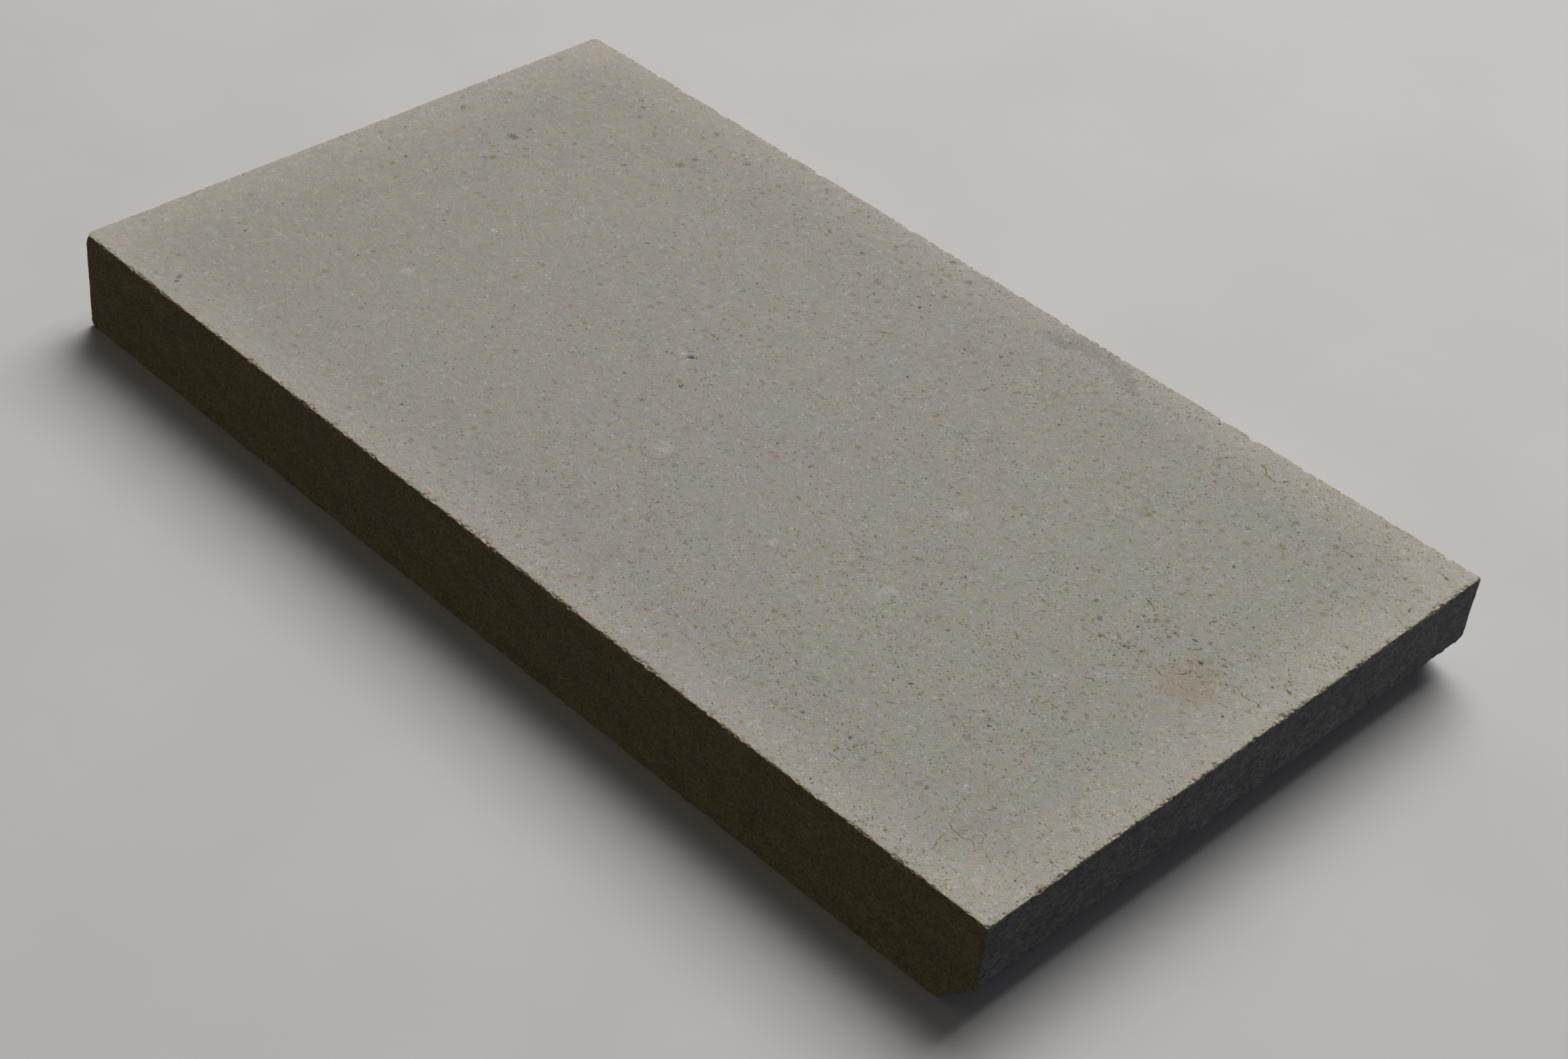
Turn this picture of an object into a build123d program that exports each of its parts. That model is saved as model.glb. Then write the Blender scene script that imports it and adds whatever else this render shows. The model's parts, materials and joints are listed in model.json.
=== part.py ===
"""A stove lining brick: one pressed and fired fireclay slab with its lower arris bevelled at one end.

The length runs along X, with the bevelled nose end at +X. The width runs along Y and the
thickness along Z. The origin is the middle of the underside's full rectangle.
"""

import os

from build123d import *

# Driving dimensions, in millimetres
brick_length = 274.0
brick_width = 154.0
brick_thickness = 25.0
bevel_run = 8.8  # how far the bevel reaches back along the underside
bevel_rise = 8.3  # how far the bevel climbs the nose end
upright_arris_radius = 0.8  # the four standing corners
face_arris_radius = 0.5  # round the upper face
base_arris_radius = 0.5  # round the underside and the bevel

nose_end = brick_length / 2

# The whole brick is one solid
with BuildPart() as firebrick:
    # Slab as pressed, with its standing corners eased by the die
    with BuildSketch() as die_outline:
        RectangleRounded(brick_length, brick_width, upright_arris_radius)
    extrude(amount=brick_thickness)

    # Bevel under the nose end, across the full width
    with BuildSketch(Plane.XZ) as bevel_wedge:
        with BuildLine():
            Polyline(
                (nose_end - bevel_run, 0),
                (nose_end, bevel_rise),
                (nose_end, 0),
                close=True,
            )
        make_face()
    extrude(amount=brick_width / 2, both=True, mode=Mode.SUBTRACT)

    # Arris round the upper face
    upper_face = firebrick.faces().sort_by(Axis.Z)[-1]
    fillet(upper_face.edges(), radius=face_arris_radius)

    # Arrises round the underside and along both sides and the top of the bevel
    underside = firebrick.faces().sort_by(Axis.Z)[0]
    bevel = firebrick.faces().filter_by(GeomType.PLANE).sort_by(
        lambda face: abs(face.normal_at().X * face.normal_at().Z)
    )[-1]
    lower_arrises = ShapeList(set(underside.edges()) | set(bevel.edges()))
    fillet(lower_arrises, radius=base_arris_radius)

firebrick.part.label = "firebrick"

os.makedirs("parts", exist_ok=True)
export_step(firebrick.part, "parts/firebrick.step")
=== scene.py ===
"""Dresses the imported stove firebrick: a graded mesh slab with crumbled arrises, flecks and cracks."""

import json
import math
from collections import namedtuple

import bpy
import numpy as np
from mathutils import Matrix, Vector, noise


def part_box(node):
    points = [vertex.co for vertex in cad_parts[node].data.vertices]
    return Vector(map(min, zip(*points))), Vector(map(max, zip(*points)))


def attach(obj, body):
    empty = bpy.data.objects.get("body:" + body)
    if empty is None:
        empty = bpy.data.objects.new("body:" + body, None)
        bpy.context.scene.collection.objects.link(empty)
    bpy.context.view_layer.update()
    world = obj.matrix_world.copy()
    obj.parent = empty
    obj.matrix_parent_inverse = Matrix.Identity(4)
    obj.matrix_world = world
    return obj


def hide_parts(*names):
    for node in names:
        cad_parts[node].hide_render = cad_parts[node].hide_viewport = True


bl_info = {
    "name": "Stove firebrick",
    "version": (1, 0, 0),
    "blender": (4, 5, 0),
    "location": "View3D > Sidebar > Firebrick",
    "description": "Builds a fired clay stove brick with worn arrises, and the stage it stands on",
    "category": "Object",
}

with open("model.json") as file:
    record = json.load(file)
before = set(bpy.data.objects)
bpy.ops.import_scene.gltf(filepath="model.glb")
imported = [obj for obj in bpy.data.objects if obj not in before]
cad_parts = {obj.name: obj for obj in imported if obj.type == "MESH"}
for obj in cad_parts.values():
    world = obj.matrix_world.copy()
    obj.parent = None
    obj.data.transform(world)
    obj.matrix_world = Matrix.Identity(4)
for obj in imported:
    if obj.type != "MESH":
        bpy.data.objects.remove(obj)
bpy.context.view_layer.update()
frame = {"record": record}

MM = 0.001
NODE = "firebrick"
BODY = "root"

# The slab's seven planes, each as an outward normal and its distance from the origin
PLANES = {
    mount["name"]: (np.array(mount["axis"], float), float(np.dot(mount["axis"], mount["pos_m"])))
    for mount in frame["record"]["mounts"]
}
LOW, HIGH = (np.array(corner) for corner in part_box(NODE))
SIZE = HIGH - LOW

# Where the bevel's plane meets the underside and the nose end
BEVEL_NORMAL, BEVEL_OFFSET = PLANES["bevel"]
BEVEL_RUN = HIGH[0] - BEVEL_OFFSET / BEVEL_NORMAL[0]
BEVEL_RISE = (BEVEL_OFFSET - BEVEL_NORMAL[0] * HIGH[0]) / BEVEL_NORMAL[2]

UPPER_ARRISES = tuple(
    ("upper_face", side) for side in ("front_side", "back_side", "square_end", "nose_end")
)
STANDING_ARRISES = tuple(
    (side, end) for side in ("front_side", "back_side") for end in ("square_end", "nose_end")
)
BASE_ARRISES = (
    ("underside", "front_side"),
    ("underside", "back_side"),
    ("underside", "square_end"),
    ("underside", "bevel"),
    ("nose_end", "bevel"),
    ("front_side", "bevel"),
    ("back_side", "bevel"),
)

# The block's lattice: coarse cells are split in half up to six times
LATTICE_STEPS = 64
COARSE_CELL = 6.4 * MM
COUNTS = np.maximum(1, np.round(SIZE / COARSE_CELL)).astype(int)  # coarse cells along each axis
SPAN = COUNTS * LATTICE_STEPS + 1  # lattice points along each axis
SPLIT_SLACK = 1.05  # how much wider than wanted a cell may stay
CELL_REACH = 0.71  # centre to corner, as a share of a cell's width

# Cell widths in millimetres by distance: (closer than, cell width)
BASE_RIM_GRADES = ((1.6, 0.8), (0.4, 0.4))
RIM_GRADES = (
    (UPPER_ARRISES, ((2.0, 0.8), (1.0, 0.4), (0.22, 0.2))),
    (UPPER_ARRISES[::3], ((0.45, 0.2),)),
    (STANDING_ARRISES, ((1.4, 0.8), (0.4, 0.4))),
    (BASE_ARRISES[:3], BASE_RIM_GRADES),
)
FLECK_GRADES = ((0.15, 0.4),)
CRACK_GRADES = ((0.5, 0.4), (0.25, 0.2))

DARK, SLATE, BROWN, OCHRE, PALE = KINDS = ("dark", "slate", "brown", "ochre", "pale")

# Flecks seen on the upper face, in millimetres from its middle: (x, y, radius, kind)
SEEN_FLECKS = (
    (-112.5, 28, 1.7, SLATE), (-112.5, 33.5, 1.1, OCHRE), (-79, 52, 1.5, OCHRE), (-78.5, 56.5, 1.3, OCHRE),
    (-69.5, 65.5, 1.2, OCHRE), (-84, 69, 1.2, OCHRE), (-104, 63, 0.8, SLATE), (-87, 41, 0.8, SLATE),
    (-108, 18, 1.3, OCHRE), (-130, 27, 1.3, OCHRE), (-132.5, 3.5, 0.9, OCHRE), (-120.5, 1.5, 0.8, SLATE),
    (-36.5, 60.5, 1, OCHRE), (-22.5, 68.5, 0.9, OCHRE), (-10, 74.5, 0.9, BROWN), (-6.5, 73, 0.6, SLATE),
    (-2, 54.5, 0.55, DARK), (-1, 57, 0.5, DARK), (0.5, 55, 0.5, SLATE), (1, 52, 0.5, BROWN),
    (-4, 53.5, 0.5, BROWN), (-5, 57.5, 0.5, BROWN), (-19.5, 34.5, 0.45, DARK), (-18, 34, 0.6, PALE),
    (-15, 33.5, 0.5, BROWN), (-31.5, 31.5, 0.4, DARK), (-58.5, 22.5, 0.5, BROWN), (-57.5, 14.5, 0.6, OCHRE),
    (-19.5, -0.5, 1, DARK), (-21.5, -1, 0.8, PALE), (-21, 1, 0.5, BROWN), (-18.5, 0, 0.5, BROWN),
    (-25, 8.5, 0.6, SLATE), (-22.5, 9, 0.8, OCHRE), (-21, 9, 0.5, SLATE), (-13, -9.5, 0.65, DARK),
    (-10, -8, 0.5, BROWN), (-24, -3.5, 0.5, SLATE), (-24, -16, 0.5, DARK), (-17, 12.5, 0.45, SLATE),
    (-11.5, -1, 0.6, SLATE), (15, 32.5, 0.5, DARK), (34, 7.5, 0.5, SLATE), (38.5, 13, 0.5, OCHRE),
    (49, 6.5, 0.5, OCHRE), (69, 75, 0.6, DARK), (127, 63.5, 0.7, SLATE), (111.5, 60.5, 0.9, OCHRE),
    (115.5, 60.5, 0.5, BROWN), (119, 58.5, 0.5, DARK), (132.5, 70.5, 0.6, BROWN), (133.5, 55.5, 0.6, DARK),
    (126, 50, 0.5, SLATE), (118, 49, 0.6, PALE), (123, 43.5, 0.5, OCHRE), (132, 36, 0.8, OCHRE),
    (106, 56.5, 0.5, DARK), (102, 38, 0.6, DARK), (93.5, 27, 0.5, BROWN), (112, 43.5, 0.5, DARK),
    (104.5, 27, 0.6, SLATE), (94, 12.5, 0.45, DARK), (83, 52.5, 0.6, SLATE), (80, 37.5, 0.9, OCHRE),
    (96, 50.5, 0.6, BROWN), (96, 41, 0.5, SLATE), (98.5, 38.5, 0.5, SLATE), (103.5, 58, 0.6, SLATE),
    (110, 47, 0.5, BROWN), (92.5, 32, 0.45, BROWN), (100, 11, 0.7, SLATE), (98, 15.5, 0.4, DARK),
    (81.5, 57.5, 0.8, OCHRE), (88, 64, 0.5, SLATE), (94.5, 64.5, 0.6, SLATE), (84.5, 70.5, 0.8, OCHRE),
    (87, 68.5, 0.8, OCHRE), (91, 69.5, 0.7, OCHRE), (76, 31.5, 0.5, SLATE), (80, 48, 0.5, PALE),
    (91, 7, 0.8, SLATE), (95, 3.5, 0.9, SLATE), (101.5, 7.5, 0.55, DARK), (102.5, 8, 0.5, SLATE),
    (98.5, -0.5, 0.5, BROWN), (103.5, 1, 0.6, DARK), (104.5, 1, 0.5, BROWN), (105, 2.5, 0.6, OCHRE),
    (104, -3, 0.45, BROWN), (108, -0.5, 0.5, BROWN), (110.5, 0, 0.6, OCHRE), (107.5, 10, 0.7, SLATE),
    (107.5, 12, 0.5, BROWN), (111.5, 13.5, 0.7, DARK), (114, 15, 0.7, SLATE), (116.5, 9, 0.65, DARK),
    (117, 8.5, 0.5, OCHRE), (120, 12, 0.6, DARK), (109.5, 22, 0.45, DARK), (110.5, 23, 0.6, OCHRE),
    (110.5, 24.5, 0.5, BROWN), (113, 20.5, 0.5, SLATE), (116.5, 26, 0.5, SLATE), (102.5, 12, 0.8, OCHRE),
    (119, 5.5, 0.6, SLATE), (130, 14.5, 0.45, DARK), (129, 0, 0.45, DARK), (112, -20.5, 0.7, OCHRE),
    (-93.5, -9, 0.45, DARK), (-89, -10.5, 0.6, PALE), (-83.5, -2.5, 1, PALE), (-112, -19.5, 0.4, BROWN),
    (-73, -22, 0.4, DARK), (-54.5, -27.5, 0.55, BROWN), (-94, -33.5, 0.4, DARK), (-78, -44, 0.4, DARK),
    (-103, -50, 0.5, SLATE), (-117, -47.5, 0.4, DARK), (-44, -61, 0.5, BROWN), (-110.5, -70, 1.1, SLATE),
    (-109.5, -71.5, 0.9, SLATE), (-6, -23, 0.45, DARK), (24.5, -7.5, 0.6, BROWN), (21.5, -4, 0.6, OCHRE),
    (66, -53, 0.5, BROWN), (84.5, -40.5, 0.5, DARK), (72, -60.5, 0.5, SLATE), (77, -62.5, 0.6, SLATE),
    (87.5, -60.5, 0.6, DARK), (90.5, -54.5, 0.5, OCHRE), (81.5, -45, 0.5, PALE), (102, -37.5, 0.55, DARK),
    (121, -26, 0.5, BROWN), (122, -31.5, 0.6, BROWN), (106, -59, 0.6, BROWN), (77.5, -15.5, 0.5, PALE),
    (110, -53, 0.65, PALE), (122.5, -64, 0.45, OCHRE), (133, 16, 0.75, DARK), (131.3, 16.8, 0.7, OCHRE),
    (136.2, -11.7, 0.8, BROWN), (134.6, -13.4, 0.45, BROWN), (136.6, -56.8, 0.6, BROWN),
    (136.3, -50.5, 0.5, BROWN), (-39.5, 66.5, 0.8, OCHRE), (-39, 71, 0.6, OCHRE), (-35.5, 72.5, 0.7, SLATE),
    (-2, 71.5, 1.1, OCHRE), (-25.5, 60, 0.7, BROWN), (-15.5, 54.5, 0.9, OCHRE), (-15, 50.5, 0.6, OCHRE),
    (-12, 50, 0.6, BROWN), (-19.5, 53, 0.5, SLATE), (-12, 62, 0.5, BROWN), (-6, 66, 0.8, OCHRE),
    (-1.5, 62.5, 0.8, OCHRE), (-3.5, 60.5, 0.7, OCHRE), (-28, 48.5, 0.6, OCHRE), (-50, 73, 0.6, OCHRE),
    (8, 74, 0.5, OCHRE), (4, 69.5, 0.5, OCHRE), (12, 67, 0.8, OCHRE), (15.5, 50.5, 0.6, BROWN),
    (22.5, 55, 0.7, BROWN), (23, 58, 0.6, BROWN), (17.5, 62, 0.45, DARK), (24, 48, 0.6, OCHRE),
    (28.5, 42.5, 0.6, BROWN),
)

# Hairline cracks seen on the upper face, as points in millimetres
CRACKS = (
    ((117.6, -70.2), (117.2, -69.3), (116.6, -67.6), (116.3, -66.7), (116.1, -65)),
    (
        (114.6, -62.4), (116.1, -63.3), (117.3, -63.4), (118.2, -63.5), (119.4, -63.3), (120.5, -62.7),
        (122.3, -63.9),
    ),
    ((124.5, -63.2), (125.2, -63.7), (126.5, -64.3)),
    ((123.3, -70.7), (124.5, -70.8)),
    (
        (123.4, 7.9), (124.3, 8.1), (125.1, 8.7), (126.3, 8.5), (127.8, 7.7), (129.9, 8), (130.7, 8.4),
        (132.3, 7.4),
    ),
    ((111.1, 0.7), (112.5, 0.3), (113.8, -0.1), (115, 0.6)),
    ((115.4, 2.2), (116.3, 3.5), (116.8, 4.8), (116.6, 6)),
    ((128.5, 21.5), (129.8, 20.1), (131, 19.2)),
    ((84.5, 70.3), (85.5, 70.3), (86.7, 68.7), (89.5, 67.8), (91.1, 69.7), (91.6, 71.1)),
    ((77, 64.8), (77.5, 66.1), (78.6, 67.6)),
    ((85.2, -48.1), (85.8, -47.3), (86.4, -47), (87.2, -46)),
    ((98.5, 0.1), (99.8, -0.2), (101.4, -0.6), (102.3, 0.5), (103.4, 0.9), (104.9, 2.7)),
    ((111.8, 10.2), (112.7, 10.7), (114.3, 12.3)),
    ((96.8, 15.6), (98.5, 15.2), (100.8, 14)),
    ((103.9, -12.9), (104.8, -12.4), (105.8, -11.7), (106.9, -12.1)),
    ((115.6, 67.3), (116.6, 67.7), (117.7, 68.7), (118.5, 68.8)),
    ((130.6, 71.2), (132.4, 70.5), (133.3, 69.9)),
    ((112.7, 60.3), (114, 60.7), (115.6, 60.5)),
)

# Bites out of the arrises, in millimetres: (x, y, z, radius, extra width)
BITES = (
    (77.4, 77.0, 25.0, 1.6, 0.9),
    (91.4, 77.0, 25.0, 1.2, 0.7),
    (-25.9, 77.0, 25.0, 1.5, 1.0),
    (-90.0, 77.0, 25.0, 1.8, 0.5),
    (-56.0, 77.0, 25.0, 1.6, 0.6),
    (48.0, 77.0, 25.0, 1.4, 0.6),
    (127.3, -77.0, 0.0, 0.9, 1.2),
    (137.0, -77.0, 25.0, 1.1, 0.8),
    (137.0, -62.2, 25.0, 1.7, 0.45),
    (137.0, -56.8, 25.0, 1.2, 0.6),
    (137.0, -50.0, 25.0, 2.4, 0.5),
)

# How readily the upper arrises chip, and how wide each arris's worn strip is
CHIPPED = {"front_side": 0.22, "back_side": 0.16, "square_end": -0.25, "nose_end": 0.08}
WORN = {
    **dict(zip(UPPER_ARRISES, (0.8, 0.8, 0.4, 0.8))),
    **dict.fromkeys(STANDING_ARRISES, 0.5),
    **dict.fromkeys(BASE_ARRISES, 2.0),
}
WEAR_REACH = 3 * MM  # how far from an arris the faces are still worn
LEAST_WORN = 0.12 * MM
RELIEF_REACH = 2 * MM  # how deep under a face its unevenness is felt
FLECK_MARGIN = 2.5 * MM  # how far loose flecks keep from the arrises
CRACK_HALF_WIDTH = 0.14 * MM
FULL_WEAR = 0.35 * MM  # wear at which an arris looks wholly crumbled

CORNER_NEIGHBOURHOOD = 6 * MM
CORNER_ROUGHNESS = 0.25 * MM

# Corners knocked off: the corner in millimetres, and how far the chip reaches along each edge
KNOCKED_CORNERS = (
    ((-137.0, -77.0, 25.0), (1.5, 2.0, 2.6)),
    ((-137.0, 77.0, 25.0), (1.1, 1.2, 1.0)),
    ((137.0, 77.0, 8.3), (1.4, 1.6, 1.2)),
    ((-137.0, -77.0, 0.0), (1.2, 1.4, 1.0)),
    ((137.0, -77.0, 25.0), (1.3, 1.2, 0.9)),
)


def length(name, description, millimetres, least=0.0):
    """A length property, with its default and least value in millimetres."""
    return bpy.props.FloatProperty(
        name=name,
        description=description,
        default=millimetres * MM,
        min=least * MM,
        unit="LENGTH",
    )


class SlabSettings(bpy.types.PropertyGroup):
    """Sizes of the slab's wear and relief."""

    arris_width: length("Arris Width", "Mean width of the worn strip along an upper arris", 0.16)
    arris_softness: length("Arris Softness", "How roundly the worn strip meets the faces", 0.12)
    crumble: length("Crumble", "How much the worn strip's width varies", 0.42)
    chip_reach: length("Chip Reach", "How far chips reach in from the upper arrises", 1.5, 0.1)
    chip_depth: length("Chip Depth", "Depth of a middling chip", 0.42, 0.01)
    side_bow: length("Side Bow", "How far the front side falls back at its two ends", 0.4)
    waviness: length("Waviness", "Depth of the faces' slow hollows", 0.10)
    relief: length("Relief", "Depth of the faces' fine unevenness", 0.035)
    fleck_depth: length("Fleck Depth", "Depth of the pit at a fleck of one millimetre", 0.12)
    crack_depth: length("Crack Depth", "Depth of the hairline cracks", 0.08)
    fleck_count: bpy.props.IntProperty(
        name="Fleck Count",
        description="Loose flecks strewn over the upper face and the sides",
        default=30,
        min=0,
    )
    seed: bpy.props.IntProperty(name="Seed", description="Which way the flecks fall", default=11)


def colour(name, description, value):
    """A colour property, in linear light."""
    return bpy.props.FloatVectorProperty(
        name=name,
        description=description,
        default=value,
        size=3,
        min=0.0,
        max=1.0,
        subtype="COLOR",
    )


class ClaySettings(bpy.types.PropertyGroup):
    """Colours of the fired clay, and the painted shade of its sides."""

    pink_clay: colour("Pink Clay", "Body tone in the middle", (0.454, 0.430, 0.396))
    green_clay: colour("Green Clay", "Body tone towards the nose end", (0.459, 0.444, 0.393))
    warm_clay: colour("Warm Clay", "Body tone towards the square end", (0.460, 0.433, 0.388))
    # Painted shade: the sides are painted darker and browner than the upper face
    painted_side_shade: colour("Side Tint", "What the sides keep of the body's tone", (0.93, 0.885, 0.78))
    pale_grain: colour("Pale Grain", "Grog grains and chalky patches", (0.68, 0.67, 0.655))
    dark_fleck: colour("Dark Fleck", "Iron spots", (0.055, 0.056, 0.06))
    slate_fleck: colour("Slate Fleck", "Blue grey grains", (0.13, 0.145, 0.165))
    brown_fleck: colour("Brown Fleck", "Iron stained grains and cracks", (0.133, 0.099, 0.036))
    ochre_fleck: colour("Ochre Fleck", "Ochre grains", (0.256, 0.188, 0.080))
    stain_tint: colour("Stain Tint", "What the tan stain keeps of the tone", (0.965, 0.886, 0.788))
    smudge: colour("Smudge", "The grey smudge by the back side", (0.248, 0.246, 0.232))


class StudioSettings(bpy.types.PropertyGroup):
    """The floor and the light."""

    floor_colour: colour("Floor", "Pale floor", (0.74, 0.735, 0.72))
    key_power: bpy.props.FloatProperty(
        name="Key Power", description="Power of the soft key light", default=57.5, unit="POWER"
    )
    ambient: bpy.props.FloatProperty(
        name="Ambient", description="Strength of the surrounding light", default=0.10
    )


def lattice_to_block(lattice):
    """Lattice points as places on the sharp, unbevelled block."""
    return LOW + lattice / (COUNTS * LATTICE_STEPS) * SIZE


def on_face(axis, high_side, u, v):
    """Lattice points on one face of the block, from their two places in that face."""
    points = np.zeros(u.shape + (3,), np.int64)
    points[..., axis] = COUNTS[axis] * LATTICE_STEPS if high_side else 0
    points[..., (axis + 1) % 3] = u
    points[..., (axis + 2) % 3] = v
    return points


def inside_distance(points, plane):
    """How far points lie inside one of the slab's planes."""
    normal, offset = PLANES[plane]
    return offset - points @ normal


def arris_distance(points, arrises):
    """Distance from points to the nearest of some right-angled arrises."""
    return np.min(
        [
            np.hypot(inside_distance(points, one), inside_distance(points, other))
            for one, other in arrises
        ],
        axis=0,
    )


def crack_places(points):
    """Signed distance from points on the upper face to the nearest crack, and length left of it."""
    flat = points[:, :2]
    nearest = np.full(len(points), np.inf)
    signed = np.zeros(len(points))
    left = np.zeros(len(points))
    for crack in CRACKS:
        corners = np.array(crack) * MM
        lengths = np.linalg.norm(np.diff(corners, axis=0), axis=1)
        whole, done = lengths.sum(), 0.0
        for start, end, stretch in zip(corners[:-1], corners[1:], lengths):
            run = (end - start) / stretch
            along = (flat - start) @ run
            offset = flat - start - np.clip(along, 0, stretch)[:, None] * run
            gap = np.linalg.norm(offset, axis=1)
            side = np.sign(run[0] * offset[:, 1] - run[1] * offset[:, 0])
            closer = gap < nearest
            nearest[closer] = gap[closer]
            signed[closer] = (gap * side)[closer]
            left[closer] = np.minimum(done + along, whole - done - along)[closer]
            done += stretch
    return signed, left


def all_flecks(slab):
    """Places, radii and kinds of every fleck: the seen ones, and loose ones on the face and sides."""
    centres = [(x * MM, y * MM, HIGH[2]) for x, y, _, _ in SEEN_FLECKS]
    radii = [radius * MM for _, _, radius, _ in SEEN_FLECKS]
    kinds = [kind for *_, kind in SEEN_FLECKS]
    dice = np.random.default_rng(slab.seed)
    for _ in range(slab.fleck_count):
        place = LOW + FLECK_MARGIN + dice.random(3) * (SIZE - 2 * FLECK_MARGIN)
        face = dice.choice(["top", "top", "top", "top", "front", "back", "nose", "square"])
        if face == "top":
            place[0] += (HIGH[0] - FLECK_MARGIN - place[0]) * 0.35 * dice.random()
            place[2] = HIGH[2]
        elif face in ("front", "back"):
            place[1] = LOW[1] if face == "front" else HIGH[1]
        else:
            place[0] = HIGH[0] if face == "nose" else LOW[0]
            place[2] = max(place[2], BEVEL_RISE + FLECK_MARGIN)
        centres.append(tuple(place))
        radii.append((0.22 + 0.33 * dice.random() ** 2) * MM)
        kinds.append(dice.choice(KINDS, p=(0.36, 0.18, 0.22, 0.12, 0.12)))
    return np.array(centres), np.array(radii), np.array(kinds)


def graded(distance, grades, reach):
    """Cell width wanted at each distance, in metres."""
    width = np.full(len(distance), COARSE_CELL)
    for within, cell in grades:
        width[distance - reach < within * MM] = cell * MM
    return width


def wanted_width(points, axis, high_side, reach, flecks):
    """Cell width that the surface needs at each point of one block face."""
    width = np.minimum.reduce(
        [graded(arris_distance(points, arrises), grades, reach) for arrises, grades in RIM_GRADES]
    )
    underside = axis == 2 and not high_side
    if not underside:
        centres, radii, _ = flecks
        for centre, radius in zip(centres, radii):
            gap = np.linalg.norm(points - centre, axis=1) - radius
            width = np.minimum(width, graded(gap, FLECK_GRADES, reach))
    if axis == 2 and high_side:
        signed, _ = crack_places(points)
        width = np.minimum(width, graded(np.abs(signed), CRACK_GRADES, reach))
    foot = np.hypot(points[:, 0] - (HIGH[0] - BEVEL_RUN), points[:, 2] - LOW[2])
    brow = np.hypot(points[:, 0] - HIGH[0], points[:, 2] - BEVEL_RISE)
    return np.minimum(width, graded(np.minimum(foot, brow), BASE_RIM_GRADES, reach))


def face_cells(axis, high_side, flecks):
    """Cells of one block face as (u, v, width) groups, split wherever the surface needs it."""
    across_u, across_v = (np.arange(COUNTS[(axis + step) % 3]) * LATTICE_STEPS for step in (1, 2))
    u, v = (places.ravel() for places in np.meshgrid(across_u, across_v))
    width = LATTICE_STEPS
    groups = []
    while width > 1 and len(u):
        across = COARSE_CELL * width / LATTICE_STEPS
        centres = lattice_to_block(on_face(axis, high_side, u + width / 2, v + width / 2))
        wanted = wanted_width(centres, axis, high_side, across * CELL_REACH, flecks)
        split = across > wanted * SPLIT_SLACK
        groups.append((u[~split], v[~split], width))
        u, v = u[split], v[split]
        width //= 2
        u, v = (
            np.concatenate([u, u + width, u, u + width]),
            np.concatenate([v, v, v + width, v + width]),
        )
    groups.append((u, v, width))
    return [group for group in groups if len(group[0])]


def lattice_keys(points):
    """One number for each lattice point."""
    return (points[..., 0] * SPAN[1] + points[..., 1]) * SPAN[2] + points[..., 2]


def key_points(keys):
    """Lattice points from their numbers."""
    return np.stack([keys // (SPAN[1] * SPAN[2]), keys // SPAN[2] % SPAN[1], keys % SPAN[2]], 1)


def cell_outline(axis, high_side, u, v, width):
    """Keys round each cell, step by step and counter-clockwise from outside, as (cells, 4 * width)."""
    steps = np.arange(width)
    around_u = np.concatenate([steps, np.full(width, width), width - steps, np.zeros(width)])
    around_v = np.concatenate([np.zeros(width), steps, np.full(width, width), width - steps])
    if not high_side:
        around_u, around_v = around_v, around_u
    u, v = u[:, None] + around_u.astype(int), v[:, None] + around_v.astype(int)
    return lattice_keys(on_face(axis, high_side, u, v))


def block_mesh(flecks):
    """The whole block as corner keys of quads and triangles, closed wherever cell sizes change."""
    faces = [(axis, side) for axis in range(3) for side in (False, True)]
    cells = [(face, group) for face in faces for group in face_cells(*face, flecks)]
    outlines = [cell_outline(*face, *group) for face, group in cells]
    corners = np.unique(
        np.concatenate([ring[:, :: group[2]].ravel() for ring, (_, group) in zip(outlines, cells)])
    )
    quads, triangles = [], []
    for ring, (face, (u, v, width)) in zip(outlines, cells):
        used = np.isin(ring, corners)
        plain = used.sum(1) == 4
        quads.append(ring[plain][:, ::width])
        middles = lattice_keys(on_face(*face, u + width // 2, v + width // 2))
        for row in np.flatnonzero(~plain):
            rim = ring[row][used[row]]
            triangles.extend(zip([middles[row]] * len(rim), rim, np.roll(rim, -1)))
    return np.concatenate(quads), np.array(triangles)


def bevelled(points):
    """Folds the block's nose foot onto the bevel."""
    along = (points[:, 0] - (HIGH[0] - BEVEL_RUN)) / BEVEL_RUN
    down = (LOW[2] + BEVEL_RISE - points[:, 2]) / BEVEL_RISE
    folded = (along > 0) & (down > 0)
    share = np.ones(len(points))
    share[folded] = np.maximum(along, down)[folded] / (along + down)[folded]
    result = points.copy()
    result[folded, 0] = HIGH[0] - BEVEL_RUN * (1 - along * share)[folded]
    result[folded, 2] = LOW[2] + BEVEL_RISE * (1 - down * share)[folded]
    return result


def limited(value):
    """A number, kept from 0 to 1."""
    return np.clip(value, 0, 1)


def soft_maximum(value, floor, softness):
    """The larger of two numbers, with a rounded change from one to the other."""
    gap = value - floor
    return floor + 0.5 * (gap + np.sqrt(gap * gap + softness * softness))


def noise_at(points, size, octaves=1):
    """Smooth noise from about -1 to 1, with features of the given size."""
    scaled = (points / size).tolist()
    if octaves == 1:
        return np.array([noise.noise(place) for place in scaled])
    return np.array([noise.fractal(place, 0.8, 2.0, octaves) for place in scaled])


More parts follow.
